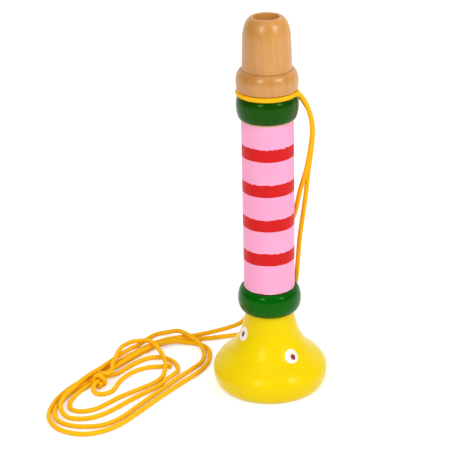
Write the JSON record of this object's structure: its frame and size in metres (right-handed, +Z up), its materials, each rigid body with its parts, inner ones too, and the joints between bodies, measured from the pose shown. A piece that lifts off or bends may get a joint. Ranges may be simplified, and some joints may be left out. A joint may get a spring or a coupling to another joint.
{
  "type": "toy horn",
  "caption": "Turned wooden toy horn: plain mouthpiece with a reed inside, striped tube, flared bell and a cord round the neck.",
  "frame": {"origin": "centre of the bell's rim, on the surface that the horn stands on", "axes": "+Z up the pipe's axis from the bell to the mouth hole, -Y towards the face with the right-hand eye, +X to its right"},
  "size_m": [0.123, 0.0949, 0.1694],
  "materials": {
    "clear_wood": "natural beech turned smooth under a thin clear lacquer",
    "yellow_paint": "turned wood in glossy yellow enamel",
    "green_paint": "turned wood in glossy deep green enamel",
    "pink_paint": "turned wood in glossy pink enamel with four red stripes",
    "reed_plastic": "moulded, satin",
    "reed_brass": "thin rolled strip, satin",
    "cord_braid": "round woven cord, orange-yellow"
  },
  "bodies": {
    "pipe": {"bell": "yellow_paint", "lower_ring": "green_paint", "tube": "pink_paint", "upper_ring": "green_paint"},
    "mouth": {"mouthpiece": "clear_wood", "reed_body": "reed_plastic", "reed_collar": "reed_plastic"},
    "tongue": {"reed_tongue": "reed_brass"},
    "cord": {"cord_neck_loop": "cord_braid", "cord_drop_a": "cord_braid", "cord_drop_b": "cord_braid", "cord_loops_a": "cord_braid", "cord_loops_b": "cord_braid", "cord_knot": "cord_braid", "cord_tail": "cord_braid"}
  },
  "joints": [
    {"name": "mouthpiece_pull", "type": "slide", "parent": "pipe", "child": "mouth", "axis": [0, 0, 1], "range_m": [0, 0.014]},
    {"name": "tongue_flex", "type": "hinge", "parent": "mouth", "child": "tongue", "pos_m": [0, -0.002, 0.1366], "axis": [1, 0, 0], "range_deg": [-2.5, 1], "stiffness_Nm_per_rad": 0.02},
    {"name": "cord_swivel", "type": "hinge", "parent": "pipe", "child": "cord", "pos_m": [0, 0, 0.1371], "axis": [0, 0, 1], "continuous": true}
  ]
}
